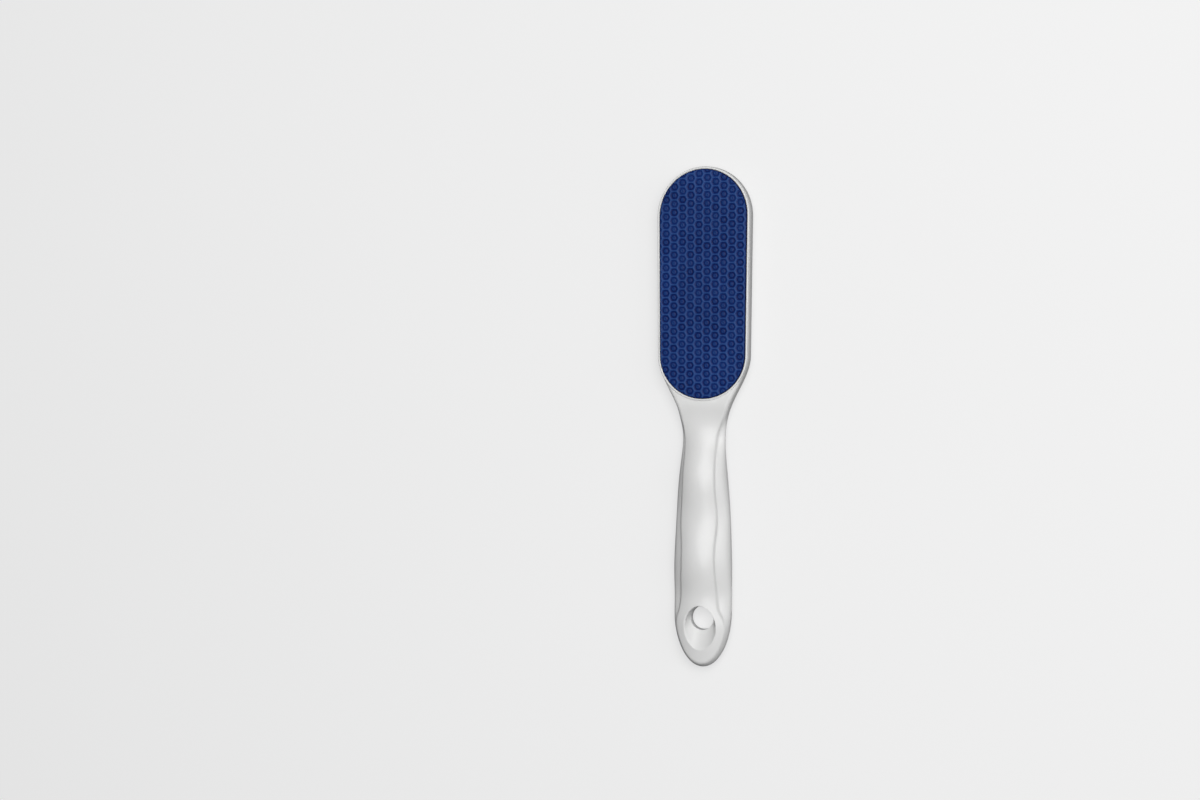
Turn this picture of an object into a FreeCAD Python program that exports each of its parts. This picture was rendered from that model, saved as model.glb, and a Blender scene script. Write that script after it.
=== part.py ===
"""Hand foot file: a honeycomb glass rasp plate bonded into a hollow moulded handle.

The handle is two shells that meet on one flat seam: front_shell carries the tray for
the plate, back_shell closes it from behind, and a bond pad holds the plate down.
Frame: +Y from the tail to the crown of the paddle, +Z out of the rasp face, X
across. The file lies on its back on z = 0, with the origin under mid-length.
"""

import FreeCAD, Part
import Sketcher

import math
import os

V = FreeCAD.Vector
TOLERANCE = 0.1

DIMENSIONS = {
    # plate outline: a half-ellipse crown, tapered sides and a half-round foot
    "crown_centre": 91.85,
    "crown_rise": 21.3,
    "crown_half": 20.5,
    "foot_centre": 28.1,
    "foot_half": 19.9,
    # handle outline: the flanks end in a half-ellipse tail
    "rim_width": 1.6,
    "tail_centre": -89.0,
    "tail_rise": 25.75,
    "tail_half": 13.43,
    # heights from the back face
    "seam_level": 4.2,
    "tray_floor": 1.4,
    "bond_thickness": 0.5,
    "plate_thickness": 3.0,
    "paddle_top": 8.1,
    "lip_height": 0.5,
    "form_reach": 13.0,
    # paddle details
    "plate_gap": 0.15,
    "plate_bevel": 0.6,
    "bond_inset": 1.2,
    "lip_width": 0.95,
    "lip_round": 0.35,
    # walls, ribs and the posts that locate the shells
    "wall": 2.0,
    "rib_thickness": 1.2,
    "rib_pitch": 16.0,
    "seam_play": 0.1,
    "post_radius": 1.5,
    "post_reach": 1.8,
    "socket_play": 0.1,
    "socket_wall": 1.3,
    # hang hole with the thumb scoop round it
    "hole_radius": 5.4,
    "hole_centre": -92.4,
    "hole_chamfer": 0.5,
    "scoop_half_width": 7.5,
    "scoop_half_length": 10.4,
    "scoop_centre": -97.0,
    "scoop_mouth": 10.2,
    "scoop_floor": 5.6,
    "back_at_hole": 1.1,
    "boss_wall": 1.8,
    # how far tools run past what they cut, and how far posts stop short of what is above
    "overrun": 1.0,
    "post_gap": 0.5,
}

# Half-width of the handle at the seam, along Y from the tail to the paddle.
FLANK = [
    (-72, 13.5), (-54, 13.0), (-36, 11.95), (-20, 10.45), (-8.5, 10.0), (4, 12.4), (14, 17.1),
]
# Height of the grip surface from the paddle to the tail: a dip behind the lip, then two
# humps for the fingers with a hollow between them.
GRIP = [
    (-5, 7.5), (-14, 9.3), (-25, 12.5), (-33, 12.7), (-45, 11.6), (-65, 13.6), (-80, 11.3),
    (-94, 10.4), (-106, 9.4),
]
GRIP_START = (6, 8.1)
GRIP_END = (-117, 8.2)
GRIP_END_SLOPE = -0.25
# Height of the back: it lifts behind the neck, nearly lands under the palm, lifts again.
BACK = [(-14, 1.5), (-38, 0.25), (-54, 0.9), (-72, 0.25), (-96, 1.1)]
BACK_START = (16, -0.25)
BACK_END = (-117, 2.0)
BACK_END_SLOPE = 0.1
# The hollow keeps a wall inside these curves. It starts between the neck and the tray,
# and at the tail it ends between two heights.
HOLLOW_GRIP = (-100, -10)
HOLLOW_START = (-2, 5.4)
HOLLOW_TRAY = 4
HOLLOW_TAIL_TOP = 6.6
HOLLOW_TAIL_FLOOR = 3.9
HOLLOW_END_SLOPE = 0.1
HOLLOW_FLOOR = 1.7
# How far the outline draws in at each height: height, at the paddle, at the full handle.
LEVELS = [
    (0.0, 1.7, 3.6), (0.6, 0.8, 2.2), (1.7, 0.25, 0.9), (4.2, 0.0, 0.0), (7.7, 0.3, 1.2),
    (11.5, 0.6, 3.9), (15.5, 1.0, 6.8),
]
# Where the draw-in changes from the handle's to the paddle's.
NECK = (-10.0, 20.0)
# Radius of the shoulder round the grip surface, in order of distance along Y.
SHOULDER = [(-200.0, 3.2), (-84.0, 3.2), (6.0, 2.0), (26.0, 1.2), (200.0, 1.2)]

# Ribs and posts of the hollow handle, and posts of the paddle.
HANDLE_RIBS = [-72.0, -56.0, -40.0, -24.0]
HANDLE_POSTS = [-64.0, -32.0]
PADDLE_POSTS = [(-13.0, 30.0), (13.0, 30.0), (-13.0, 94.0), (13.0, 94.0)]
FRONT_SPINE_END = -4.0
BACK_SPINE_END = 106.85

doc = FreeCAD.newDocument("foot_file")
sheet = doc.addObject("Spreadsheet::Sheet", "sheet")
for row, (alias, value) in enumerate(DIMENSIONS.items(), start=1):
    sheet.set(f"A{row}", alias)
    sheet.set(f"B{row}", str(value))
    sheet.setAlias(f"B{row}", alias)
doc.recompute()


def size(alias):
    """One driving dimension, read from the sheet."""
    return float(getattr(sheet, alias))


def bind(item, **expressions):
    """Bind properties of a document object to expressions over the sheet."""
    for name, expression in expressions.items():
        item.setExpression(name.replace("__", "."), expression)
    return item


# ---- the sculpted form of the handle -------------------------------------------------

def smooth_step(amount):
    amount = max(0.0, min(1.0, amount))
    return amount * amount * (3.0 - 2.0 * amount)


def half_ellipse(centre, half, rise, height):
    """Half an ellipse across the Y axis; a negative rise points it at the tail."""
    ellipse = Part.Ellipse(
        V(0, centre + rise, height), V(half, centre, height), V(0, centre, height)
    )
    return Part.ArcOfEllipse(ellipse, -math.pi / 2, math.pi / 2).toShape()


def outline(height, paddle_draw, handle_draw):
    """Closed outline of the whole handle at one height, drawn in by the given amounts."""
    crown_half = size("crown_half") + size("rim_width") - paddle_draw
    crown_rise = size("crown_rise") + size("rim_width") - paddle_draw
    foot_half = size("foot_half") + size("rim_width") - paddle_draw
    tail_half = size("tail_half") - handle_draw
    tail_rise = size("tail_rise") - handle_draw
    crown_y = size("crown_centre")
    foot_y = size("foot_centre")
    tail_y = size("tail_centre")
    neck_start, neck_end = NECK
    edges = [
        half_ellipse(crown_y, crown_half, crown_rise, height),
        half_ellipse(tail_y, tail_half, -tail_rise, height),
    ]
    for side in (-1, 1):
        points = [V(side * tail_half, tail_y, height)]
        for y, half in FLANK:
            share = smooth_step((y - neck_start) / (neck_end - neck_start))
            slim = handle_draw * half / size("tail_half")
            draw = slim + (paddle_draw - slim) * share
            points.append(V(side * (half - draw), y, height))
        points.append(V(side * foot_half, foot_y, height))
        flank = Part.BSplineCurve()
        flank.interpolate(Points=points, InitialTangent=V(0, 1, 0), FinalTangent=V(0, 1, 0))
        edges.append(flank.toShape())
        edges.append(Part.makeLine(points[-1], V(side * crown_half, crown_y, height)))
    return Part.Wire(Part.__sortEdges__(edges))


def side_curve(start, points, end, end_slope):
    """Smooth curve in the YZ plane, level at its start."""
    curve = Part.BSplineCurve()
    curve.interpolate(
        Points=[V(0, y, z) for y, z in [start, *points, end]],
        InitialTangent=V(0, -1, 0),
        FinalTangent=V(0, -1, end_slope),
    )
    return curve.toShape()


def across(edges):
    """Close edges in the YZ plane and sweep them across the whole width."""
    reach = 2 * size("crown_half")
    face = Part.Face(Part.Wire(Part.__sortEdges__(edges)))
    face.translate(V(-reach, 0, 0))
    return face.extrude(V(2 * reach, 0, 0))


def polyline(points):
    return [
        Part.makeLine(V(0, *first), V(0, *second))
        for first, second in zip(points, points[1:])
    ]


def stacked_outlines(inset):
    return Part.makeLoft(
        [outline(z, paddle + inset, handle + inset) for z, paddle, handle in LEVELS], True
    )


def outer_form():
    """The whole handle, solid: stacked outlines trimmed by the grip and back curves."""
    far = size("crown_centre") + size("crown_rise") + 2 * size("rim_width")
    below = -size("paddle_top")
    corner = (far, GRIP_START[1])
    trim = across(
        [side_curve(GRIP_START, GRIP, GRIP_END, GRIP_END_SLOPE)]
        + polyline([GRIP_END, BACK_END])
        + [side_curve(BACK_START, BACK, BACK_END, BACK_END_SLOPE)]
        + polyline([BACK_START, (BACK_START[0], below), (far, below), corner, GRIP_START])
    )
    return stacked_outlines(0).common(trim)


def core_form():
    """The hollow inside: under the grip it is tall, under the tray it stops at the seam."""
    wall = size("wall")
    seam = size("seam_level")
    far = size("crown_centre") + size("crown_rise")
    tail = size("tail_centre") - size("tail_rise")
    first, last = HOLLOW_GRIP
    grip = [(y, z - wall) for y, z in GRIP if first < y < last]
    back = [(y, z + wall) for y, z in BACK]
    tail_top = (tail, HOLLOW_TAIL_TOP)
    tail_floor = (tail, HOLLOW_TAIL_FLOOR)
    back_start = (BACK_START[0], HOLLOW_FLOOR)
    trim = across(
        [side_curve(HOLLOW_START, grip, tail_top, -HOLLOW_END_SLOPE)]
        + polyline([tail_top, tail_floor])
        + [side_curve(back_start, back, tail_floor, HOLLOW_END_SLOPE)]
        + polyline([
            back_start, (far, HOLLOW_FLOOR), (far, seam), (HOLLOW_TRAY, seam), HOLLOW_START,
        ])
    )
    return stacked_outlines(wall).common(trim)


def shape_object(label, shape):
    item = doc.addObject("Part::Feature", label)
    item.Shape = shape
    return item


# ---- plate outline: the glass, its bond, the tray pocket and the lip share it ---------

def plate_sketch(body, grow):
    """Sketch of the plate outline, offset outwards by an expression over the sheet."""
    sketch = body.newObject("Sketcher::SketchObject", body.Name + "_outline")
    plane = next(item for item in body.Origin.OriginFeatures if item.Role == "XY_Plane")
    sketch.AttachmentSupport = [(plane, "")]
    sketch.MapMode = "FlatFace"
    crown_y = size("crown_centre")
    foot_y = size("foot_centre")
    half = size("crown_half")
    foot = size("foot_half")
    rise = size("crown_rise")
    crown = Part.Ellipse(V(0, crown_y + rise), V(half, crown_y), V(0, crown_y))
    round_foot = Part.Circle(V(0, foot_y), V(0, 0, 1), foot)
    sketch.addGeometry([
        Part.ArcOfEllipse(crown, -math.pi / 2, math.pi / 2),
        Part.LineSegment(V(half, crown_y), V(foot, foot_y)),
        Part.ArcOfCircle(round_foot, math.pi, 2 * math.pi),
        Part.LineSegment(V(-foot, foot_y), V(-half, crown_y)),
    ])
    sketch.exposeInternalGeometry(0)
    for rule in (
        ("Coincident", 0, 1, 1, 1),
        ("Coincident", 1, 2, 2, 2),
        ("Coincident", 2, 1, 3, 1),
        ("Coincident", 3, 2, 0, 2),
        ("PointOnObject", 0, 3, -2),
        ("PointOnObject", 2, 3, -2),
        ("Vertical", 4),
        ("Horizontal", 2, 1, 2, 3),
        ("Horizontal", 2, 2, 2, 3),
        ("Horizontal", 0, 1, 0, 3),
        ("Horizontal", 0, 2, 0, 3),
    ):
        sketch.addConstraint(Sketcher.Constraint(*rule))
    for name, rule, expression in (
        ("crown_at", ("DistanceY", -1, 1, 0, 3, crown_y), "sheet.crown_centre"),
        ("foot_at", ("DistanceY", -1, 1, 2, 3, foot_y), "sheet.foot_centre"),
        ("foot_size", ("Radius", 2, foot), "sheet.foot_half + " + grow),
        ("crown_size", ("DistanceX", 0, 3, 0, 1, half), "sheet.crown_half + " + grow),
        ("crown_reach", ("DistanceY", 0, 3, 4, 1, rise), "sheet.crown_rise + " + grow),
    ):
        index = sketch.addConstraint(Sketcher.Constraint(*rule))
        sketch.renameConstraint(index, name)
        sketch.setExpression("Constraints." + name, expression)
    return sketch


def top_edges(shape):
    """Names of the edges that lie on the top of a shape."""
    top = max(vertex.Z for vertex in shape.Vertexes)
    return [
        f"Edge{number}"
        for number, edge in enumerate(shape.Edges, start=1)
        if all(top - vertex.Z < TOLERANCE for vertex in edge.Vertexes)
    ]


def plate_body(label, grow, height, base, edge_kind=None, edge_size=None):
    """A padded plate outline that stands at a height, with its top edge broken if asked."""
    body = doc.addObject("PartDesign::Body", label)
    pad = body.newObject("PartDesign::Pad", label + "_pad")
    pad.Profile = plate_sketch(body, grow)
    bind(pad, Length=height)
    bind(body, Placement__Base__z=base)
    doc.recompute()
    if edge_kind:
        edge = body.newObject("PartDesign::" + edge_kind, label + "_edge")
        edge.Base = (pad, top_edges(pad.Shape))
        bind(edge, **edge_size)
        body.Tip = edge
    return body


TRAY_TOP = "sheet.seam_level + sheet.tray_floor"
PLATE_BASE = TRAY_TOP + " + sheet.bond_thickness"
LIP_TOP = "sheet.paddle_top + sheet.lip_height"

plate_body("glass_file_plate", "0", "sheet.plate_thickness", PLATE_BASE,
           "Chamfer", {"Size": "sheet.plate_bevel"})
plate_body("bond_pad", "-sheet.bond_inset", "sheet.bond_thickness", TRAY_TOP)
lip = plate_body("lip_block", "sheet.plate_gap + sheet.lip_width",
                 f"{LIP_TOP} - ({TRAY_TOP})", TRAY_TOP,
                 "Fillet", {"Radius": "sheet.lip_round"})
pocket = plate_body("tray_pocket", "sheet.plate_gap", "sheet.form_reach", TRAY_TOP)


# ---- building blocks of the shells ---------------------------------------------------

def rounded_form():
    """The outer form with its shoulder rounded, more at the handle than at the paddle."""
    form = shape_object("outer_form", outer_form())
    rounded = doc.addObject("Part::Fillet", "rounded_form")
    rounded.Base = form
    lowest = size("paddle_top") - TOLERANCE
    rim = []
    for number, edge in enumerate(form.Shape.Edges, start=1):
        on_top = min(vertex.Z for vertex in edge.Vertexes) > lowest
        if on_top and edge.Curve.TypeId != "Part::GeomLine":
            rim.append((number, edge))
    # The round starts at the crown and runs anticlockwise: up the right, down the left.
    rim.sort(key=lambda item: -item[1].CenterOfMass.y)
    edges = []
    for number, edge in rim:
        ends = sorted(vertex.Y for vertex in edge.Vertexes)
        if edge.CenterOfMass.x < 0:
            ends.reverse()
        edges.append((number, *[shoulder_radius(end) for end in ends]))
    rounded.Edges = edges
    return rounded


def shoulder_radius(y):
    for (low, first), (high, last) in zip(SHOULDER, SHOULDER[1:]):
        if low <= y <= high:
            return first + (last - first) * (y - low) / (high - low)
    raise ValueError(f"no shoulder radius at {y}")


def cylinder(label, x, y, radius, base, height):
    item = doc.addObject("Part::Cylinder", label)
    item.Placement.Base = V(x, y, 0)
    return bind(item, Radius=radius, Height=height, Placement__Base__z=base)


def scoop(label, grow):
    """Funnel from an ellipse on the grip surface down to the round of the hang hole."""
    top = size("form_reach")
    floor = size("scoop_floor") - grow
    steep = (top - floor) / (size("scoop_mouth") - floor)
    half = size("hole_radius") + grow
    mouth_half = half + (size("scoop_half_width") + grow - half) * steep
    mouth_length = half + (size("scoop_half_length") + grow - half) * steep
    shift = (size("scoop_centre") - size("hole_centre")) * steep
    centre = size("hole_centre")
    mouth = Part.Ellipse(
        V(0, centre + shift + mouth_length, top),
        V(mouth_half, centre + shift, top),
        V(0, centre + shift, top),
    )
    throat = Part.Circle(V(0, centre, floor), V(0, 0, 1), half)
    return shape_object(
        label, Part.makeLoft([Part.Wire(mouth.toShape()), Part.Wire(throat.toShape())], True, True)
    )


def fuse(label, parts):
    item = doc.addObject("Part::MultiFuse", label)
    item.Shapes = parts
    return item


def overlap(label, parts):
    item = doc.addObject("Part::MultiCommon", label)
    item.Shapes = parts
    return item


def cut(label, base, tool):
    item = doc.addObject("Part::Cut", label)
    item.Base = base
    item.Tool = tool
    return item


def box(label, low, span, base, height):
    """A box from a low (x, y) corner over a (x, y) span, with bound heights."""
    item = doc.addObject("Part::Box", label)
    item.Placement.Base = V(low[0], low[1], 0)
    item.Length = span[0]
    item.Width = span[1]
    return bind(item, Height=height, Placement__Base__z=base)


def cross_rib(label, y, base, height):
    half = size("crown_half")
    rib = box(label, (-half, y), (2 * half, 1), base, height)
    return bind(rib, Width="sheet.rib_thickness")


def long_rib(label, start, end, base, height):
    half = size("rib_thickness") / 2
    rib = box(label, (-half, start), (1, end - start), base, height)
    return bind(rib, Length="sheet.rib_thickness")


rounded = rounded_form()
core = shape_object("core_form", core_form())
hollow = cut("hollow_form", rounded, core)

reach = 2 * size("tail_rise") - size("tail_centre")
whole_plan = ((-reach, -reach), (2 * reach, 2 * reach))
upper_half = box("upper_half", *whole_plan, "sheet.seam_level", "2 * sheet.form_reach")
lower_half = box("lower_half", *whole_plan, "-sheet.overrun", "sheet.seam_level + sheet.overrun")

hole_y = size("hole_centre")
boss_radius = "sheet.hole_radius + sheet.boss_wall"
boss = overlap("hole_boss", [
    rounded,
    fuse("boss_block", [
        scoop("boss_funnel", size("boss_wall")),
        cylinder("boss_tube", 0, hole_y, boss_radius, "-sheet.overrun",
                 "sheet.scoop_floor + sheet.overrun"),
    ]),
])
bore = cylinder("hang_bore", 0, hole_y, "sheet.hole_radius", "-sheet.overrun", "sheet.form_reach")
thumb_scoop = scoop("thumb_scoop", 0)
countersink = bind(
    doc.addObject("Part::Cone", "back_countersink"),
    Radius1="sheet.hole_radius + sheet.back_at_hole + sheet.hole_chamfer",
    Radius2="sheet.hole_radius",
    Height="sheet.back_at_hole + sheet.hole_chamfer",
    Placement__Base__y="sheet.hole_centre",
)

ABOVE_SEAM = ("sheet.seam_level + sheet.seam_play", "sheet.form_reach")
BELOW_SEAM = ("-sheet.overrun", "sheet.seam_level - sheet.seam_play + sheet.overrun")

# Posts of the front shell plug into sockets of the back shell.
POSTS = [(0.0, y) for y in HANDLE_POSTS] + PADDLE_POSTS
posts = []
sockets = []
socket_holes = []
for number, (x, y) in enumerate(POSTS, start=1):
    post_top = "sheet.form_reach" if y < 0 else TRAY_TOP
    post_foot = "sheet.seam_level - sheet.post_reach"
    posts.append(cylinder(
        f"post_{number}", x, y, "sheet.post_radius",
        post_foot, f"{post_top} - ({post_foot}) - sheet.post_gap",
    ))
    sockets.append(cylinder(
        f"socket_{number}", x, y, "sheet.post_radius + sheet.socket_play + sheet.socket_wall",
        *BELOW_SEAM,
    ))
    socket_holes.append(cylinder(
        f"socket_hole_{number}", x, y, "sheet.post_radius + sheet.socket_play",
        post_foot + " - 2 * sheet.socket_play", "sheet.form_reach",
    ))

front_ribs = [
    cross_rib(f"front_rib_{number}", y, *ABOVE_SEAM)
    for number, y in enumerate(HANDLE_RIBS, start=1)
]
front_ribs.append(long_rib("front_spine", HANDLE_RIBS[0], FRONT_SPINE_END, *ABOVE_SEAM))
rib_count = int((size("crown_centre") + size("crown_rise")) / size("rib_pitch"))
back_rib_places = HANDLE_RIBS + [number * size("rib_pitch") for number in range(1, rib_count)]
back_ribs = [
    cross_rib(f"back_rib_{number}", y, *BELOW_SEAM)
    for number, y in enumerate(back_rib_places, start=1)
]
back_ribs.append(long_rib("back_spine", HANDLE_RIBS[0], BACK_SPINE_END, *BELOW_SEAM))

front_block = fuse("front_block", [
    overlap("front_wall", [hollow, upper_half]),
    overlap("front_webs", [core, fuse("front_rib_set", front_ribs)]),
    overlap("front_posts", [rounded, fuse("post_set", posts)]),
    overlap("front_boss", [boss, upper_half]),
    lip,
])
front_shell = cut(
    "front_shell", front_block, fuse("front_cuts", [pocket, bore, thumb_scoop])
)
back_block = fuse("back_block", [
    overlap("back_wall", [hollow, lower_half]),
    overlap("back_webs", [core, fuse("back_rib_set", back_ribs)]),
    overlap("back_sockets", [rounded, fuse("socket_set", sockets)]),
    overlap("back_boss", [boss, lower_half]),
])
back_shell = cut(
    "back_shell", back_block, fuse("back_cuts", [bore, countersink, *socket_holes])
)


# ---- check and write ------------------------------------------------------------------

doc.recompute()
broken = [item.Label for item in doc.Objects if {"Invalid", "Error"} & set(item.State)]
if broken:
    raise SystemExit("failed: " + ", ".join(broken))
os.makedirs("parts", exist_ok=True)
for label in ("front_shell", "back_shell", "glass_file_plate", "bond_pad"):
    shape = doc.getObject(label).Shape
    if shape.isNull() or not shape.isValid() or len(shape.Solids) != 1:
        raise SystemExit(f"{label} is not one valid solid ({len(shape.Solids)})")
    print(label, round(shape.Volume), len(shape.Faces), shape.BoundBox)
    shape.exportStep(f"parts/{label}.step")
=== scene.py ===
"""Visual model of the hand foot file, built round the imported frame.

Shapes are worked out in millimetres in the part's frame (+Y to the crown of the paddle,
+Z out of the rasp face) and written to meshes in metres. The two shells and the glass
plate are rebuilt as dense smooth meshes on the same curves as the CAD; the bond pad
stays as it is, with a better material.
"""

import math
import random

import bmesh
import bpy
import numpy as np
from mathutils import Matrix, Vector


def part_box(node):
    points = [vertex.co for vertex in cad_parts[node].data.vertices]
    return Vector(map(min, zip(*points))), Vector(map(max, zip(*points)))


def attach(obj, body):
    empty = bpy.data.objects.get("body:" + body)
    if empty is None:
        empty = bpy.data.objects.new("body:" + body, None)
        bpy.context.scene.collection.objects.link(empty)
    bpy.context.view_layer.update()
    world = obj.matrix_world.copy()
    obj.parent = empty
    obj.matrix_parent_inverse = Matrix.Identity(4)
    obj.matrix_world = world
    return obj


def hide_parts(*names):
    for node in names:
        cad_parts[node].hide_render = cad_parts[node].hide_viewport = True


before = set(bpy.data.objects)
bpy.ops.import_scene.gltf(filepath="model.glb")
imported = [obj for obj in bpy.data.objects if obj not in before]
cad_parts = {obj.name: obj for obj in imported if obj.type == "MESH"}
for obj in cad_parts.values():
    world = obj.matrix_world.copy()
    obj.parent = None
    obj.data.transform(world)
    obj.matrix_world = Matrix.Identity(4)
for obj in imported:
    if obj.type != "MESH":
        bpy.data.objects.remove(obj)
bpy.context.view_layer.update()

MM = 0.001
random.seed(7)


# ---- driving dimensions, in millimetres ------------------------------------------------

def node_box(node):
    """Two opposite corners of a node's box, in millimetres."""
    low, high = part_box(node)
    return [value / MM for value in low], [value / MM for value in high]


PLATE_LOW, PLATE_HIGH = node_box("glass_file_plate")
FRONT_LOW, FRONT_HIGH = node_box("front_shell")
PAD_LOW, _ = node_box("bond_pad")

CROWN_Y = 91.85
CROWN_HALF = PLATE_HIGH[0]
CROWN_RISE = PLATE_HIGH[1] - CROWN_Y
FOOT_HALF = 19.9
FOOT_Y = PLATE_LOW[1] + FOOT_HALF
RIM = FRONT_HIGH[1] - PLATE_HIGH[1]
TAIL_Y = -89.0
TAIL_HALF = 13.43
TAIL_RISE = TAIL_Y - FRONT_LOW[1]

# A known fault: the front's box reaches down to the feet of its locating posts, so the
# shells meet 1.8 mm below the CAD's seam, which is where the outline is widest.
SEAM = FRONT_LOW[2]
TRAY_TOP = PAD_LOW[2]
PLATE_TOP = PLATE_HIGH[2]
PLATE_BASE = PLATE_LOW[2]
PADDLE_TOP = 8.1
LIP_TOP = 8.6
LIP_GAP = 0.15
LIP_WIDTH = 0.95
PLATE_BEVEL = 0.6
# The seam is a groove: how far it reaches up or down from the seam, and how deep it is.
SEAM_GROOVE = 0.16
SEAM_DEPTH = 0.22

# Half-width of the handle at its widest height, along Y.
FLANK = [(TAIL_Y, TAIL_HALF), (-72, 13.5), (-54, 13.0), (-36, 11.95), (-20, 10.45),
         (-8.5, 10.0), (4, 12.4), (14, 17.1), (FOOT_Y, FOOT_HALF + RIM)]
# Height of the grip surface and of the back, along Y.
GRIP = [(-117, 8.2), (-106, 9.9), (-97, 11.0), (-90, 11.05), (-82, 10.85), (-74, 12.55),
        (-65, 13.6), (-48, 11.6), (-42, 11.75), (-32, 12.85), (-24, 12.3), (-14, 9.3),
        (-5, 7.3), (1, 7.5), (6, PADDLE_TOP)]
BACK = [(-117, 2.0), (-96, 1.1), (-72, 0.25), (-54, 0.9), (-38, 0.25), (-14, 1.5),
        (16, -0.25)]
# How far the outline draws in at each height: height, at the paddle, at the full handle.
LEVELS = [(0.0, 1.7, 3.6), (0.6, 0.8, 2.2), (1.7, 0.25, 0.9), (4.2, 0.0, 0.0),
          (7.7, 0.3, 1.2), (11.5, 0.6, 3.9), (15.5, 1.0, 6.8)]
# Where the handle turns into the paddle, along Y.
NECK = (-10.0, 20.0)
# Radius of the shoulder round the grip surface, along Y.
SHOULDER = [(-200.0, 2.8), (-84.0, 2.4), (6.0, 2.0), (26.0, 1.2), (200.0, 1.2)]

# Half-width of the grip surface between its crisp edges, along Y: it narrows on the humps.
GRIP_EDGE = [(-100, 10.9), (-96, 10.3), (-91, 9.4), (-84, 8.4), (-77, 8.0), (-65, 7.5),
             (-59, 7.6), (-48, 8.3), (-36, 7.6), (-25, 7.2), (-16, 7.1), (-9, 7.5),
             (-2, 8.6), (5, 11.0)]
# Below the crisp edge a small wall drops to a ledge: its height and its run, and where
# the edge softens into the plain side at the neck and round the tail.
STEP_HEIGHT = 1.5
STEP_RUN = 0.5
STEP_NECK = (-11.0, 5.0)
STEP_TAIL = (-99.0, -87.0)
# Below the ledge the side rises straight, then curves in: shares of its rise and its draw.
SIDE_STRAIGHT = 0.6
SIDE_CURVE = (0.3, 0.28)
# Control points round the ledge and over the crisp edge, as (draw, height) from each.
LEDGE_FOOT = (-0.5, -0.25)
LEDGE_BEND = [(-0.1, -0.02), (0.02, 0.1)]
LEDGE_END = (0.14, 0.4)
EDGE_BELOW = (-0.05, -0.2)
EDGE_ABOVE = (0.1, 0.02)
EDGE_RUN = 0.65
# The grip surface falls away to its sides: how far, how suddenly, where along Y it starts
# behind the paddle, and over what length it grows.
CAMBER = 2.1
CAMBER_POWER = 2.1
CAMBER_START = 4.0
CAMBER_RUN = 18.0
# How far the crest of the grip leans to the left.
CREST_LEAN = 1.1

# The hang hole, countersunk at the back, and the oval scoop round it.
HOLE_Y = -92.4
HOLE_RADIUS = 5.4
COUNTERSINK = 1.6
SCOOP_Y = -97.0
SCOOP_HALF = 7.5
SCOOP_LENGTH = 10.4
SCOOP_FLOOR = 5.6
SCOOP_MOUTH = 10.2
SCOOP_LIP = 0.55
SCOOP_LIP_RISE = 0.12

# The honeycomb: columns along Y, every other one half a row further on.
COLUMN_PITCH = 3.88
ROW_PITCH = 3.9
COLUMN_OFFSET = 0.5
ROW_PHASE = -0.5
# Relief of one cell, as (share of the way from its centre to its edge, drop).
CELL_RINGS = [(0.13, 0.12), (0.32, 0.11), (0.44, 0.16), (0.54, 0.27), (0.64, 0.31),
              (0.74, 0.24), (0.84, 0.13), (0.93, 0.03)]
CELL_CENTRE_DROP = 0.17
# The rings are round near the centre and turn into hexagons with this power of the share.
HEXAGON_POWER = 5
# Columns and rows made past the plate's edge, to be cut away.
SPARE_CELLS = 2
# How much the cells differ: depth of the rings, of the centre, and tilt of the rings.
DEPTH_SPREAD = (0.8, 1.15)
CENTRE_CHOICES = (0.4, 0.8, 1.0, 1.5)
TILT_SPREAD = 0.05
# The plate's bevel, as (growth of its outline, height from its top), and on up past it.
BEVEL_ROWS = [(0, -PLATE_BEVEL), (-0.12, -0.34), (-0.34, -0.12), (-PLATE_BEVEL, 0.001),
              (-PLATE_BEVEL, 1)]
# Painted shade: the plate's colour darkens with depth, and is darkest this far below its top.
PAINTED_SHADE_DEPTH = 0.6

# Cutting solids run from below the whole part to above it.
BELOW = -2.0
ABOVE = 20.0
# How far the lip's ring is sunk below the floor of the tray.
LIP_ROOT = 0.6

# Fineness of the meshes: stations round the outline, and rings on each surface.
CROWN_STEPS = 30
SIDE_STEPS = 44
FLANK_STEPS = 118
TAIL_STEPS = 56
SIDE_RINGS = 9
SHOULDER_RINGS = 8
TOP_RINGS = 22
LIP_STEPS = 8
PLATE_ARC_STEPS = 34
PLATE_FINE_STEPS = 60
PLATE_SIDE_STEPS = 12
BORE_STEPS = 128
SCOOP_STEPS = 120
SCOOP_WALL_ROWS = 10
SCOOP_LIP_ROWS = 6
CELL_SEGMENTS = 24
# Step for measuring slopes, passes to settle a corner, and halvings to find the mouth.
PROBE = 0.05
CORNER_PASSES = 6
HALVINGS = 30
# Points closer than this many metres are one point.
WELD = 1e-7
CELL_WELD = 2e-5
# Edges sharper than this many degrees stay sharp.
SHELL_CREASE = 34
GLASS_CREASE = 60

# Studio and camera, in metres and radians.
FLOOR_HALF = 4.0
FLOOR_GLOW = 0.57
CAMERA_DISTANCE = 0.8
CAMERA_ROLL = math.radians(14.0)
CAMERA_SPIN = math.radians(0.33)
FRAME_WIDTH = 0.559
AIM = Vector((-0.0490, 0.0073, 0.008))


# ---- curves ----------------------------------------------------------------------------

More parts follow.
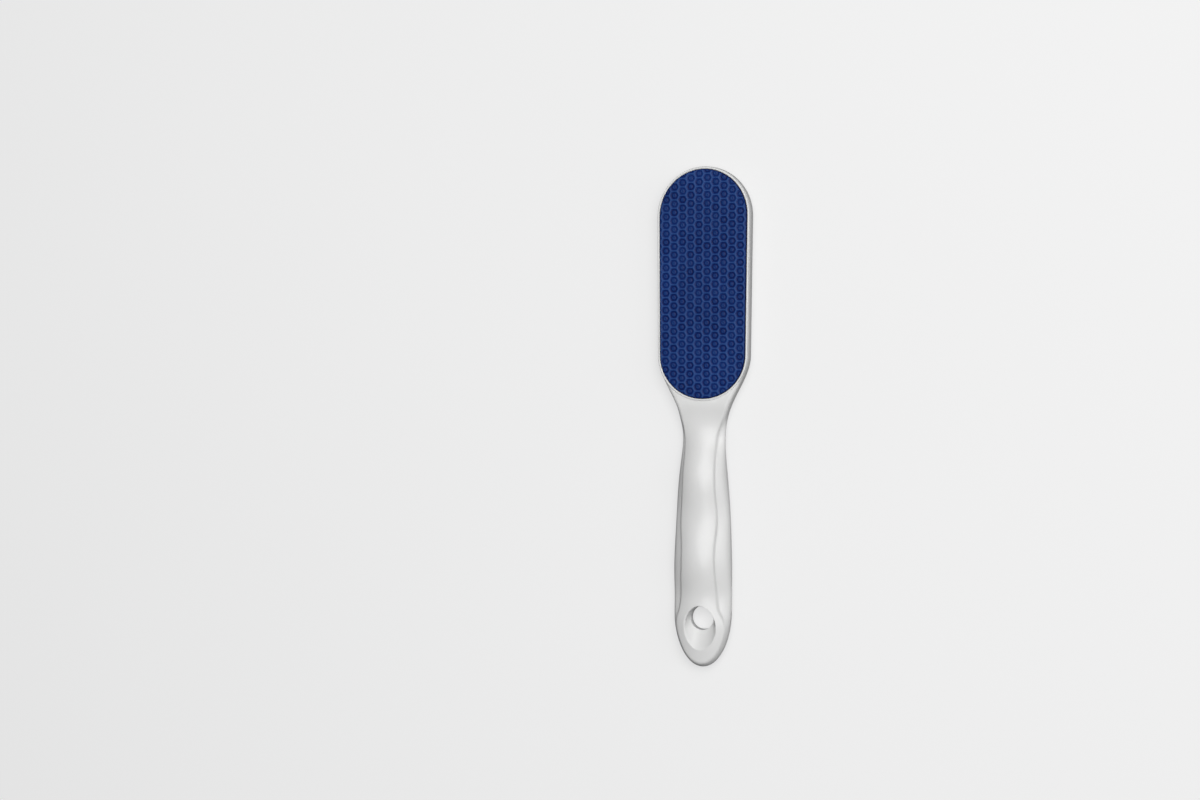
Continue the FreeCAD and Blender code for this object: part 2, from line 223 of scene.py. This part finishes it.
class Curve:
    """Cubic spline through points, with given slopes at its two ends."""

    def __init__(self, points, first_slope, last_slope):
        points = sorted(points)
        self.x = np.array([p[0] for p in points], float)
        self.y = np.array([p[1] for p in points], float)
        count = len(points)
        span = np.diff(self.x)
        rise = np.diff(self.y) / span
        system = np.zeros((count, count))
        target = np.zeros(count)
        system[0, 0] = system[-1, -1] = 1
        target[0], target[-1] = first_slope, last_slope
        for i in range(1, count - 1):
            system[i, i - 1] = span[i]
            system[i, i] = 2 * (span[i - 1] + span[i])
            system[i, i + 1] = span[i - 1]
            target[i] = 3 * (span[i] * rise[i - 1] + span[i - 1] * rise[i])
        self.slope = np.linalg.solve(system, target)

    def __call__(self, x):
        x = np.clip(x, self.x[0], self.x[-1])
        i = np.clip(np.searchsorted(self.x, x) - 1, 0, len(self.x) - 2)
        width = self.x[i + 1] - self.x[i]
        t = (x - self.x[i]) / width
        return (
            (2 * t**3 - 3 * t**2 + 1) * self.y[i]
            + (t**3 - 2 * t**2 + t) * width * self.slope[i]
            + (3 * t**2 - 2 * t**3) * self.y[i + 1]
            + (t**3 - t**2) * width * self.slope[i + 1]
        )


flank_half = Curve(FLANK, 0.0, 0.0)
grip_height = Curve(GRIP, 0.1, 0.0)
back_height = Curve(BACK, -0.02, 0.0)
paddle_draw = Curve([(z, paddle) for z, paddle, _ in LEVELS], -2.4, 0.1)
handle_draw = Curve([(z, handle) for z, _, handle in LEVELS], -2.8, 0.72)
grip_edge = Curve(GRIP_EDGE, -0.15, 0.2)


def shoulder_radius(y):
    """Radius of the rounded shoulder at a place along Y."""
    return np.interp(y, [p[0] for p in SHOULDER], [p[1] for p in SHOULDER])


def smooth_step(t):
    """Share that eases from 0 to 1 as t goes from 0 to 1."""
    t = np.clip(t, 0, 1)
    return t * t * (3 - 2 * t)


class Station:
    """One place on the right half of the outline, from the crown's tip to the tail's.

    It is an angle on the crown and the tail, and a place along Y on the side and the flank.
    """

    CROWN_GATHER = 0.3
    TAIL_GATHER = 0.75

    def __init__(self, kind, at):
        self.kind = kind
        self.at = at
        self.slant = math.sin(at) if kind in ("crown", "tail") else 1.0
        if kind == "flank":
            self.half = float(flank_half(at))
            self.share = float(smooth_step((at - NECK[0]) / (NECK[1] - NECK[0])))
        else:
            self.half = TAIL_HALF
            self.share = 0.0 if kind == "tail" else 1.0

    def draw_at(self, z):
        """How far the outline is drawn in at a height."""
        handle = handle_draw(z) * self.half / TAIL_HALF
        return float(handle + (paddle_draw(z) - handle) * self.share)

    def point(self, draw):
        """Where this station is when the outline is drawn in by an amount."""
        if self.kind == "crown":
            half = CROWN_HALF + RIM - draw
            rise = CROWN_RISE + RIM - draw
            return half * math.sin(self.at), CROWN_Y + rise * math.cos(self.at)
        if self.kind == "side":
            t = (self.at - FOOT_Y) / (CROWN_Y - FOOT_Y)
            return FOOT_HALF + (CROWN_HALF - FOOT_HALF) * t + RIM - draw, self.at
        if self.kind == "flank":
            return self.half - draw, self.at
        half = TAIL_HALF - draw
        rise = TAIL_RISE - draw
        return half * math.sin(self.at), TAIL_Y - rise * math.cos(self.at)

    def middle(self, y):
        """The place on the Y axis that this station's top rows run in to."""
        if self.kind == "crown":
            return CROWN_Y + self.CROWN_GATHER * (y - CROWN_Y)
        if self.kind == "tail":
            return TAIL_Y + self.TAIL_GATHER * (y - TAIL_Y)
        return y


def spread(start, end, steps):
    """Even steps from start, without the end itself."""
    return [start + (end - start) * i / steps for i in range(steps)]


STATIONS = (
    [Station("crown", angle) for angle in spread(0, math.pi / 2, CROWN_STEPS)]
    + [Station("side", y) for y in spread(CROWN_Y, FOOT_Y, SIDE_STEPS)]
    + [Station("flank", y) for y in spread(FOOT_Y, TAIL_Y, FLANK_STEPS)]
    + [Station("tail", angle) for angle in spread(math.pi / 2, 0, TAIL_STEPS)]
    + [Station("tail", 0.0)]
)


# ---- surfaces --------------------------------------------------------------------------

def scoop_point(angle, rise):
    """Point of the funnel round the hang hole; rise is 0 at its floor and 1 at its mouth."""
    half = HOLE_RADIUS + (SCOOP_HALF - HOLE_RADIUS) * rise
    length = HOLE_RADIUS + (SCOOP_LENGTH - HOLE_RADIUS) * rise
    centre = HOLE_Y + (SCOOP_Y - HOLE_Y) * rise
    height = SCOOP_FLOOR + (SCOOP_MOUTH - SCOOP_FLOOR) * rise
    return Vector((half * math.cos(angle), centre + length * math.sin(angle), height))


def grip_line(y):
    """Height of the grip surface on the centre line."""
    return float(grip_height(y)) if y < GRIP[-1][0] else PADDLE_TOP


def plain_share(y):
    """How much of the plain side is in the profile: none along the crisp edge."""
    neck = smooth_step((y - STEP_NECK[0]) / (STEP_NECK[1] - STEP_NECK[0]))
    tail = smooth_step((STEP_TAIL[1] - y) / (STEP_TAIL[1] - STEP_TAIL[0]))
    return float(max(neck, tail))


def grip_half(y):
    """Half-width of the grip surface."""
    share = plain_share(y)
    at = max(y, TAIL_Y)
    half = float(flank_half(at))
    plain = half - float(handle_draw(grip_line(at))) * half / TAIL_HALF
    return plain * share + float(grip_edge(y)) * (1 - share)


def crown_drop(x, y):
    """How far the grip surface falls away from its centre line."""
    share = float(smooth_step((CAMBER_START - y) / CAMBER_RUN))
    return CAMBER * share * abs(x / grip_half(y)) ** CAMBER_POWER if share else 0.0


def grip_surface(x, y):
    """Height of the front's top surface."""
    return grip_line(y) - crown_drop(x, y)


def back_surface(x, y):
    """Height of the back's surface, flat under the paddle and level across."""
    return max(0.0, float(back_height(y))) if y < BACK[-1][0] else 0.0


def bezier(a, b, c, d, t):
    """Point of a cubic through a and d, pulled towards b and c."""
    return tuple(
        (1 - t) ** 3 * p + 3 * t * (1 - t) ** 2 * q + 3 * t * t * (1 - t) * r + t**3 * s
        for p, q, r, s in zip(a, b, c, d)
    )


def plain_profile(station):
    """Rows of (draw, height) up a plain side and over its shoulder, seam first."""
    def surface(draw):
        return grip_surface(*station.point(draw))

    def slope_at(function, at):
        return (function(at + PROBE) - function(at - PROBE)) / (2 * PROBE)

    corner = station.draw_at(surface(0))
    for _ in range(CORNER_PASSES):
        corner = station.draw_at(surface(corner))
    top = surface(corner)
    radius = float(shoulder_radius(station.point(corner)[1]))
    slant = math.atan((station.draw_at(top) - station.draw_at(top - PROBE)) / PROBE)
    tilt = math.atan((surface(corner + PROBE) - surface(corner)) / PROBE)
    turn = math.pi / 2 - slant - tilt
    reach = radius * math.tan(turn / 2)
    start_z = top - reach * math.cos(slant)
    start = (station.draw_at(start_z), start_z)
    slope = slope_at(station.draw_at, start_z)
    end_draw = corner + reach * math.cos(tilt)
    end = (end_draw, surface(end_draw))
    fall = slope_at(surface, end_draw)
    handle = 4 / 3 * math.tan(turn / 4) * radius
    up = handle / math.hypot(slope, 1)
    inward = handle / math.hypot(fall, 1)
    after_start = (start[0] + slope * up, start[1] + up)
    before_end = (end[0] - inward, end[1] - fall * inward)
    rows = []
    for i in range(SIDE_RINGS):
        z = SEAM + (start_z - SEAM) * i / SIDE_RINGS
        rows.append((station.draw_at(z), z))
    for i in range(SHOULDER_RINGS + 1):
        rows.append(bezier(start, after_start, before_end, end, i / SHOULDER_RINGS))
    return rows


def step_profile(station):
    """Rows up the side to the ledge, up the small wall and over the crisp edge."""
    def surface(draw):
        return grip_surface(*station.point(draw))

    x, y = station.point(0)
    edge = (x - float(grip_edge(y))) / station.slant
    top = surface(edge)
    ledge = (edge - STEP_RUN, top - STEP_HEIGHT)
    rise = ledge[1] - SEAM

    def from_ledge(offset):
        return ledge[0] + offset[0], ledge[1] + offset[1]

    side = [
        (0, SEAM),
        (0, SEAM + SIDE_STRAIGHT * rise),
        (SIDE_CURVE[0] * ledge[0], ledge[1] - SIDE_CURVE[1] * rise),
        from_ledge(LEDGE_FOOT),
    ]
    corner = [side[-1], *map(from_ledge, LEDGE_BEND), from_ledge(LEDGE_END)]
    above = edge + EDGE_ABOVE[0]
    over = [
        corner[-1],
        (edge + EDGE_BELOW[0], top + EDGE_BELOW[1]),
        (above, surface(above) + EDGE_ABOVE[1]),
        (edge + EDGE_RUN, surface(edge + EDGE_RUN)),
    ]
    rows = [bezier(*side, i / SIDE_RINGS) for i in range(SIDE_RINGS)]
    bends = SHOULDER_RINGS // 2
    rows += [bezier(*corner, i / bends) for i in range(bends)]
    rows += [bezier(*over, i / bends) for i in range(bends + 1)]
    return rows


def front_profile(station):
    """Rows up the side of the front shell, blended between the two kinds of side."""
    plain = plain_profile(station)
    share = plain_share(station.point(0)[1])
    if share == 1.0:
        return plain
    return [
        tuple(a * share + b * (1 - share) for a, b in zip(smooth, stepped))
        for smooth, stepped in zip(plain, step_profile(station))
    ]


def back_profile(station):
    """Rows of (draw, height) from the seam down round the back edge."""
    y = station.point(0)[1]
    bottom = back_surface(0, y)
    rows = []
    count = SIDE_RINGS + SHOULDER_RINGS
    for i in range(count + 1):
        z = SEAM + (bottom - SEAM) * math.sin(math.pi / 2 * i / count)
        rows.append((station.draw_at(z), z))
    return rows


def half_rows(station, profile, surface, direction):
    """Points of one station from the seam face to the Y axis; direction is 1 up, -1 down."""
    groove = SEAM + direction * SEAM_GROOVE
    points = [(*station.point(SEAM_DEPTH), SEAM)]
    rows = [row for row in profile if direction * (row[1] - groove) > 0]
    rows.insert(0, (station.draw_at(groove), groove))
    while len(rows) < len(profile) + 1:
        rows.insert(1, ((rows[0][0] + rows[1][0]) / 2, (rows[0][1] + rows[1][1]) / 2))
    for draw, z in rows:
        points.append((*station.point(draw), z))
    x, y, z = points[-1]
    middle = station.middle(y)
    for i in range(1, TOP_RINGS + 1):
        share = i / TOP_RINGS
        across = x * (1 - share)
        along = y + (middle - y) * share
        points.append((across, along, surface(across, along)))
    return points


def lean(y, z):
    """How far a point is shifted to the left: most at the crest, none at the seam."""
    rise = (z - SEAM) / (grip_line(y) - CAMBER - SEAM)
    return CREST_LEAN * (1 - plain_share(y)) * float(smooth_step(rise))


def skin(name, profile, surface, direction):
    """Closed half of the handle: outer surface, and a flat face on the seam."""
    columns = [
        half_rows(station, profile(station), surface, direction) for station in STATIONS
    ]
    mesh = bmesh.new()

    def vertex(side, x, y, z):
        return mesh.verts.new(((side * x - lean(y, z)) * MM, y * MM, z * MM))

    grids = [
        [[vertex(side, *point) for point in column] for column in columns]
        for side in (1, -1)
    ]
    for grid in grids:
        for first, second in zip(grid, grid[1:]):
            for i in range(len(first) - 1):
                mesh.faces.new([first[i], second[i], second[i + 1], first[i + 1]])
    bmesh.ops.remove_doubles(mesh, verts=mesh.verts, dist=WELD)
    bmesh.ops.dissolve_degenerate(mesh, dist=WELD / 10, edges=mesh.edges)
    close_rim(mesh)
    return to_object(name, mesh)


def close_rim(mesh):
    """Fill the one open rim of a mesh with a face, and turn its normals outwards."""
    rim = [edge for edge in mesh.edges if edge.is_boundary]
    bmesh.ops.contextual_create(mesh, geom=rim)
    bmesh.ops.recalc_face_normals(mesh, faces=mesh.faces)


def to_object(name, mesh):
    """Turn a bmesh into an object of the scene."""
    data = bpy.data.meshes.new(name)
    mesh.to_mesh(data)
    mesh.free()
    item = bpy.data.objects.new(name, data)
    bpy.context.scene.collection.objects.link(item)
    return item


# ---- solids that cut and join ----------------------------------------------------------

def plate_loop(grow, steps):
    """Points round the plate outline, grown outwards, with steps on each round end."""
    points = []
    for i in range(steps + 1):
        angle = math.pi * i / steps - math.pi / 2
        points.append((
            (CROWN_HALF + grow) * math.sin(angle),
            CROWN_Y + (CROWN_RISE + grow) * math.cos(angle),
        ))
    for i in range(1, PLATE_SIDE_STEPS):
        t = i / PLATE_SIDE_STEPS
        x = CROWN_HALF + (FOOT_HALF - CROWN_HALF) * t + grow
        points.append((x, CROWN_Y + (FOOT_Y - CROWN_Y) * t))
    radius = FOOT_HALF + grow
    for i in range(steps + 1):
        angle = math.pi / 2 - math.pi * i / steps
        points.append((radius * math.sin(angle), FOOT_Y - radius * math.cos(angle)))
    for i in range(1, PLATE_SIDE_STEPS):
        t = i / PLATE_SIDE_STEPS
        x = FOOT_HALF + (CROWN_HALF - FOOT_HALF) * t + grow
        points.append((-x, FOOT_Y + (CROWN_Y - FOOT_Y) * t))
    return points


def outline_solid(name, rows, ring=False, steps=PLATE_ARC_STEPS):
    """Loft plate outlines, each with a growth and a height; a ring joins last to first."""
    mesh = bmesh.new()
    loops = [
        [mesh.verts.new((x * MM, y * MM, z * MM)) for x, y in plate_loop(grow, steps)]
        for grow, z in rows
    ]
    for low, high in zip(loops, loops[1:] + loops[:1] if ring else loops[1:]):
        bridge(mesh, low, high)
    if not ring:
        mesh.faces.new(loops[0])
        mesh.faces.new(loops[-1])
    bmesh.ops.recalc_face_normals(mesh, faces=mesh.faces)
    return to_object(name, mesh)


def bridge(mesh, low, high):
    """Band of quads between two loops of as many points."""
    for i in range(len(low)):
        j = (i + 1) % len(low)
        mesh.faces.new([low[i], low[j], high[j], high[i]])


def hole_tool(rows):
    """Closed solid of revolution round the hang hole's axis from (radius, height) rows."""
    mesh = bmesh.new()
    loops = []
    for radius, z in rows:
        loop = []
        for i in range(BORE_STEPS):
            angle = 2 * math.pi * i / BORE_STEPS
            x = radius * math.cos(angle)
            y = HOLE_Y + radius * math.sin(angle)
            loop.append(mesh.verts.new((x * MM, y * MM, z * MM)))
        loops.append(loop)
    for low, high in zip(loops, loops[1:]):
        bridge(mesh, low, high)
    mesh.faces.new(loops[0])
    mesh.faces.new(loops[-1])
    bmesh.ops.recalc_face_normals(mesh, faces=mesh.faces)
    return to_object("bore", mesh)


def scoop_mouth(angle):
    """Rise at which the funnel's wall comes out of the grip surface, found by halving."""
    low, high = 0.0, 2.0
    for _ in range(HALVINGS):
        middle = (low + high) / 2
        point = scoop_point(angle, middle)
        if point.z < grip_surface(point.x, point.y):
            low = middle
        else:
            high = middle
    return low


def scoop_column(angle):
    """Points up the funnel's wall, over its rounded lip and on past the part."""
    mouth = scoop_mouth(angle)
    corner = scoop_point(angle, mouth)
    wall = (corner - scoop_point(angle, 0)).length
    bend = max(0.0, mouth * (1 - SCOOP_LIP / max(wall, SCOOP_LIP)))
    first = scoop_point(angle, bend)
    outward = Vector((corner.x / SCOOP_HALF**2, (corner.y - SCOOP_Y) / SCOOP_LENGTH**2, 0))
    last = corner + outward.normalized() * SCOOP_LIP
    last.z = grip_surface(last.x, last.y) + SCOOP_LIP_RISE
    points = [
        scoop_point(angle, bend * k / SCOOP_WALL_ROWS) for k in range(SCOOP_WALL_ROWS + 1)
    ]
    for k in range(1, SCOOP_LIP_ROWS + 1):
        t = k / SCOOP_LIP_ROWS
        points.append(first * (1 - t) ** 2 + corner * 2 * t * (1 - t) + last * t * t)
    points.append(Vector((last.x, last.y, ABOVE)))
    return points


def scoop_tool():
    """Funnel that cuts the thumb scoop, flared at its mouth so that the edge is rounded."""
    mesh = bmesh.new()
    columns = []
    for i in range(SCOOP_STEPS):
        points = scoop_column(2 * math.pi * i / SCOOP_STEPS)
        columns.append([mesh.verts.new(point * MM) for point in points])
    for first, second in zip(columns, columns[1:] + columns[:1]):
        for k in range(len(first) - 1):
            mesh.faces.new([first[k], second[k], second[k + 1], first[k + 1]])
    mesh.faces.new([column[0] for column in columns])
    mesh.faces.new([column[-1] for column in columns])
    bmesh.ops.recalc_face_normals(mesh, faces=mesh.faces)
    return to_object("scoop", mesh)


def carve(target, tool, operation):
    """Apply a boolean and throw the tool away."""
    modifier = target.modifiers.new("carve", "BOOLEAN")
    modifier.operation = operation
    modifier.solver = "EXACT"
    modifier.object = tool
    depsgraph = bpy.context.evaluated_depsgraph_get()
    result = bpy.data.meshes.new_from_object(target.evaluated_get(depsgraph))
    target.modifiers.clear()
    old = target.data
    target.data = result
    result.name = old.name
    bpy.data.meshes.remove(old)
    bpy.data.objects.remove(tool)


def settle(piece, material, node, crease):
    piece.data.shade_smooth()
    piece.data.set_sharp_from_angle(angle=math.radians(crease))
    piece.data.materials.clear()
    piece.data.materials.append(material)
    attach(piece, "root")
    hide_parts(node)


# ---- materials -------------------------------------------------------------------------

class Look:
    """A node material while it is built, with uniform values on its shader's own sockets."""

    def __init__(self, name, uniform):
        self.material = bpy.data.materials.new(name)
        self.material.use_nodes = True
        self.nodes = self.material.node_tree.nodes
        self.links = self.material.node_tree.links
        self.shader = self.nodes["Principled BSDF"]
        for socket, value in uniform.items():
            self.shader.inputs[socket].default_value = value

    def sample(self, kind, output, **values):
        """Output of a node that reads the object's own coordinates."""
        place = self.nodes.new("ShaderNodeTexCoord")
        node = self.nodes.new(kind)
        for name, value in values.items():
            node.inputs[name].default_value = value
        self.links.new(place.outputs["Object"], node.inputs["Vector"])
        return node.outputs[output]

    def ramp(self, factor, stops):
        """Colour from a ramp of (position, colour) stops, driven by a factor."""
        node = self.nodes.new("ShaderNodeValToRGB")
        elements = node.color_ramp.elements
        while len(elements) < len(stops):
            elements.new(0.5)
        for element, (position, colour) in zip(elements, stops):
            element.position = position
            element.color = (*colour, 1)
        self.links.new(factor, node.inputs["Fac"])
        return node.outputs["Color"]

    def feed(self, value, socket):
        """Link a value into one of the shader's sockets."""
        self.links.new(value, self.shader.inputs[socket])

    def bump(self, height, strength, distance):
        """Fine relief of the surface from a height."""
        node = self.nodes.new("ShaderNodeBump")
        node.inputs["Strength"].default_value = strength
        node.inputs["Distance"].default_value = distance
        self.links.new(height, node.inputs["Height"])
        self.feed(node.outputs["Normal"], "Normal")


def grey(value):
    """Colour with the same value in each channel."""
    return (value, value, value)


def white_plastic():
    """Glossy moulded white: slight mottling, faint orange peel and uneven gloss."""
    look = Look("white_gloss_plastic", {"IOR": 1.49})
    mottle = look.sample("ShaderNodeTexNoise", "Fac", Scale=60.0, Detail=3.0)
    tint = look.ramp(mottle, [(0.0, (0.84, 0.84, 0.83)), (1.0, (0.92, 0.92, 0.915))])
    look.feed(tint, "Base Color")
    # All of it stays above 0.275: a denoised render changes there in hard-edged patches.
    gloss = look.sample("ShaderNodeTexNoise", "Fac", Scale=150.0, Detail=1.0)
    look.feed(look.ramp(gloss, [(0.2, grey(0.28)), (0.8, grey(0.33))]), "Roughness")
    peel = look.sample("ShaderNodeTexNoise", "Fac", Scale=320.0, Detail=0.0)
    look.bump(peel, 0.012, 0.0001)
    return look.material


def blue_glass():
    """Tinted etched glass with painted shade: darker the lower below the top, so the raised web
    is pale and the etched rings and the bevelled edge are dark.
    """
    look = Look("blue_etched_glass", {"IOR": 1.5, "Specular IOR Level": 0.12})
    height = look.sample("ShaderNodeSeparateXYZ", "Z")
    depth = look.nodes.new("ShaderNodeMapRange")
    depth.inputs["From Min"].default_value = (PLATE_TOP - PAINTED_SHADE_DEPTH) * MM
    depth.inputs["From Max"].default_value = PLATE_TOP * MM
    look.links.new(height, depth.inputs["Value"])
    # Painted shade: colour set by depth below the plate's top, dark in the etched rings and down
    # the bevel, pale on the raised web.
    painted_depth_shade = look.ramp(depth.outputs["Result"], [
        (0.0, (0.004, 0.007, 0.022)),
        (0.48, (0.001, 0.009, 0.088)),
        (0.64, (0.003, 0.022, 0.138)),
        (0.82, (0.006, 0.036, 0.166)),
        (1.0, (0.026, 0.074, 0.245)),
    ])
    cloud = look.sample("ShaderNodeTexNoise", "Fac", Scale=45.0, Detail=3.0)
    shift = look.ramp(cloud, [(0.35, (0.82, 0.86, 0.92)), (0.68, (1.1, 1.05, 1.08))])
    blend = look.nodes.new("ShaderNodeMix")
    blend.data_type = "RGBA"
    blend.blend_type = "MULTIPLY"
    blend.inputs["Factor"].default_value = 1.0
    look.links.new(painted_depth_shade, blend.inputs[6])
    look.links.new(shift, blend.inputs[7])
    look.feed(blend.outputs[2], "Base Color")
    etch = look.sample("ShaderNodeTexNoise", "Fac", Scale=2600.0, Detail=3.0)
    look.feed(look.ramp(etch, [(0.3, grey(0.28)), (0.7, grey(0.5))]), "Roughness")
    look.bump(etch, 0.25, 0.00005)
    return look.material


def foam_tape():
    """Off-white closed-cell foam of the bond pad."""
    look = Look("foam_tape", {"Roughness": 0.85})
    cells = look.sample("ShaderNodeTexVoronoi", "Distance", Scale=2500.0)
    tint = look.ramp(cells, [(0.0, (0.62, 0.61, 0.58)), (0.6, (0.8, 0.79, 0.76))])
    look.feed(tint, "Base Color")
    look.bump(cells, 0.4, 0.0001)
    return look.material


def floor_paper():
    """Plain pale studio floor."""
    look = Look("pale_floor", {
        "Roughness": 0.95,
        "Specular IOR Level": 0.1,
        "Emission Color": (1, 1, 1, 1),
        "Emission Strength": FLOOR_GLOW,
    })
    grain = look.sample("ShaderNodeTexNoise", "Fac", Scale=3.0, Detail=2.0)
    look.feed(look.ramp(grain, [(0.0, grey(0.35)), (1.0, grey(0.37))]), "Base Color")
    return look.material


# ---- the shells ------------------------------------------------------------------------

def lip_rows():
    """Section of the lip round the tray, as (growth of the plate outline, height)."""
    rounding = LIP_WIDTH / 2
    middle = LIP_GAP + rounding
    outer = LIP_GAP + LIP_WIDTH
    shoulder = LIP_TOP - rounding
    rows = [(LIP_GAP, TRAY_TOP - LIP_ROOT), (LIP_GAP, shoulder)]
    for i in range(1, LIP_STEPS):
        angle = math.pi * i / LIP_STEPS
        rows.append((middle - rounding * math.cos(angle), shoulder + rounding * math.sin(angle)))
    return rows + [(outer, shoulder), (outer, TRAY_TOP - LIP_ROOT)]


def front_shell(material):
    """Front half with the tray for the plate, the lip, the scoop and the hang hole."""
    shell = skin("front_shell_skin", front_profile, grip_surface, 1)
    middle = LIP_GAP + LIP_WIDTH / 2
    carve(shell, outline_solid("tray", [(middle, TRAY_TOP), (middle, ABOVE)]), "DIFFERENCE")
    carve(shell, outline_solid("lip", lip_rows(), ring=True), "UNION")
    carve(shell, scoop_tool(), "DIFFERENCE")
    carve(shell, hole_tool([(HOLE_RADIUS, BELOW), (HOLE_RADIUS, ABOVE)]), "DIFFERENCE")
    settle(shell, material, "front_shell", SHELL_CREASE)


def back_shell(material):
    """Back half with the countersunk end of the hang hole."""
    shell = skin("back_shell_skin", back_profile, back_surface, -1)
    bore = [(HOLE_RADIUS + COUNTERSINK, 0), (HOLE_RADIUS, COUNTERSINK), (HOLE_RADIUS, ABOVE)]
    carve(shell, hole_tool(bore), "DIFFERENCE")
    settle(shell, material, "back_shell", SHELL_CREASE)


# ---- the glass plate -------------------------------------------------------------------

def hexagon_angles():
    """Directions round a cell, evenly between its six corners."""
    flat = ROW_PITCH / 2
    slanted = (COLUMN_PITCH**2 + flat**2) / 2
    corner = math.atan2(flat, (slanted - flat * flat) / COLUMN_PITCH)
    corners = [
        0.0, corner, math.pi - corner, math.pi, math.pi + corner, 2 * math.pi - corner,
        2 * math.pi,
    ]
    steps = CELL_SEGMENTS // 6
    angles = []
    for first, second in zip(corners, corners[1:]):
        angles += spread(first, second, steps)
    return angles


def cell_edge(angle):
    """Distance from a cell's centre to its hexagonal edge, in a direction."""
    neighbours = [(0, ROW_PITCH), (0, -ROW_PITCH)]
    for side in (COLUMN_PITCH, -COLUMN_PITCH):
        neighbours += [(side, ROW_PITCH / 2), (side, -ROW_PITCH / 2)]
    reaches = []
    for x, y in neighbours:
        along = math.cos(angle) * x + math.sin(angle) * y
        if along > 1e-6:
            reaches.append((x * x + y * y) / 2 / along)
    return min(reaches)


ANGLES = hexagon_angles()
REACHES = [cell_edge(angle) for angle in ANGLES]


def fan(mesh, centre, loop):
    """Triangles from a point to the loop round it."""
    for i in range(len(loop)):
        mesh.faces.new([centre, loop[i], loop[(i + 1) % len(loop)]])


def cell(mesh, x, y):
    """One honeycomb cell: a dimple, an etched ring round it and a flat hexagonal rim."""
    strength = random.uniform(*DEPTH_SPREAD)
    dimple = random.choice(CENTRE_CHOICES)
    wobble = random.uniform(-TILT_SPREAD, TILT_SPREAD)

    round_reach = ROW_PITCH / 2

    def loop_at(share, drop):
        loop = []
        for angle, reach in zip(ANGLES, REACHES):
            radius = round_reach * share + (reach - round_reach) * share**HEXAGON_POWER
            height = PLATE_TOP - drop * strength * (1 + wobble * math.cos(angle))
            loop.append(mesh.verts.new((
                (x + radius * math.cos(angle)) * MM,
                (y + radius * math.sin(angle)) * MM,
                height * MM,
            )))
        return loop

    depth = CELL_CENTRE_DROP * dimple
    centre = mesh.verts.new((x * MM, y * MM, (PLATE_TOP - depth) * MM))
    loops = [loop_at(share, drop) for share, drop in CELL_RINGS] + [loop_at(1, 0)]
    fan(mesh, centre, loops[0])
    for inner, outer in zip(loops, loops[1:]):
        bridge(mesh, inner, outer)


def rasp_sheet():
    """Honeycomb relief over the whole plate and a little beyond, as a closed slab."""
    mesh = bmesh.new()
    columns = int(CROWN_HALF / COLUMN_PITCH) + SPARE_CELLS
    low = PLATE_LOW[1] - ROW_PITCH
    rows = int((PLATE_HIGH[1] - low) / ROW_PITCH) + SPARE_CELLS
    for column in range(-columns, columns + 1):
        for row in range(rows + 1):
            x = (column + COLUMN_OFFSET) * COLUMN_PITCH
            y = low + ROW_PHASE + (row + 0.5 * (column % 2)) * ROW_PITCH
            cell(mesh, x, y)
    bmesh.ops.remove_doubles(mesh, verts=mesh.verts, dist=CELL_WELD)
    rim = [edge for edge in mesh.edges if edge.is_boundary]
    for item in bmesh.ops.extrude_edge_only(mesh, edges=rim)["geom"]:
        if isinstance(item, bmesh.types.BMVert):
            item.co.z = (PLATE_BASE - 1) * MM
    close_rim(mesh)
    return to_object("rasp_relief", mesh)


def glass_plate(material):
    """The relief cut to the plate's bevelled outline."""
    plate = rasp_sheet()
    rows = [(0, PLATE_BASE)] + [(grow, PLATE_TOP + rise) for grow, rise in BEVEL_ROWS]
    carve(plate, outline_solid("body", rows, steps=PLATE_FINE_STEPS), "INTERSECT")
    plate.name = plate.data.name = "glass_rasp"
    settle(plate, material, "glass_file_plate", GLASS_CREASE)


def bond_pad(material):
    """The pad keeps its CAD shape."""
    pad = bpy.data.objects["bond_pad"].data
    pad.materials.clear()
    pad.materials.append(material)


# ---- floor, light and camera -----------------------------------------------------------

def studio_floor():
    """Pale floor that is lit, but doesn't light or mirror in the file."""
    mesh = bmesh.new()
    bmesh.ops.create_grid(mesh, x_segments=1, y_segments=1, size=FLOOR_HALF)
    floor = to_object("studio_floor", mesh)
    floor.data.materials.append(floor_paper())
    floor.visible_glossy = False
    floor.visible_diffuse = False


def softbox(name, place, width, height, radiance):
    """Area light of a given brightness, aimed at the origin and hidden from the camera."""
    light = bpy.data.lights.new(name, "AREA")
    light.shape = "RECTANGLE"
    light.size = width
    light.size_y = height
    light.energy = radiance * width * height * math.pi
    item = bpy.data.objects.new(name, light)
    item.location = place
    item.rotation_euler = (-Vector(place)).to_track_quat("-Z", "Y").to_euler()
    item.visible_camera = False
    bpy.context.scene.collection.objects.link(item)


def studio():
    """A large softbox overhead, a small one at the right, and a faint even fill."""
    softbox("overhead", (0.36, 0.31, 1.25), 1.25, 1.2, 3.3)
    softbox("right", (1.2, 0.1, 0.62), 0.7, 0.7, 1.2)
    world = bpy.data.worlds.new("studio")
    world.use_nodes = True
    background = world.node_tree.nodes["Background"]
    background.inputs["Color"].default_value = (0.97, 0.98, 1.0, 1)
    background.inputs["Strength"].default_value = 0.1
    bpy.context.scene.world = world


def camera():
    """Looks down from a little to the right of the file, with +Y up the picture."""
    data = bpy.data.cameras.new("camera")
    item = bpy.data.objects.new("camera", data)
    item.location = (
        CAMERA_DISTANCE * math.sin(CAMERA_ROLL),
        AIM.y,
        CAMERA_DISTANCE * math.cos(CAMERA_ROLL),
    )
    backwards = item.location - AIM
    data.lens = data.sensor_width * backwards.length / FRAME_WIDTH
    across = Vector((0, 1, 0)).cross(backwards)
    axes = Matrix((across, backwards.cross(across), backwards)).normalized().transposed()
    item.rotation_euler = (axes @ Matrix.Rotation(CAMERA_SPIN, 3, "Z")).to_euler()
    bpy.context.scene.collection.objects.link(item)
    bpy.context.scene.camera = item


WHITE = white_plastic()
front_shell(WHITE)
back_shell(WHITE)
glass_plate(blue_glass())
bond_pad(foam_tape())
studio_floor()
studio()
camera()
bpy.context.scene.view_settings.view_transform = "Standard"
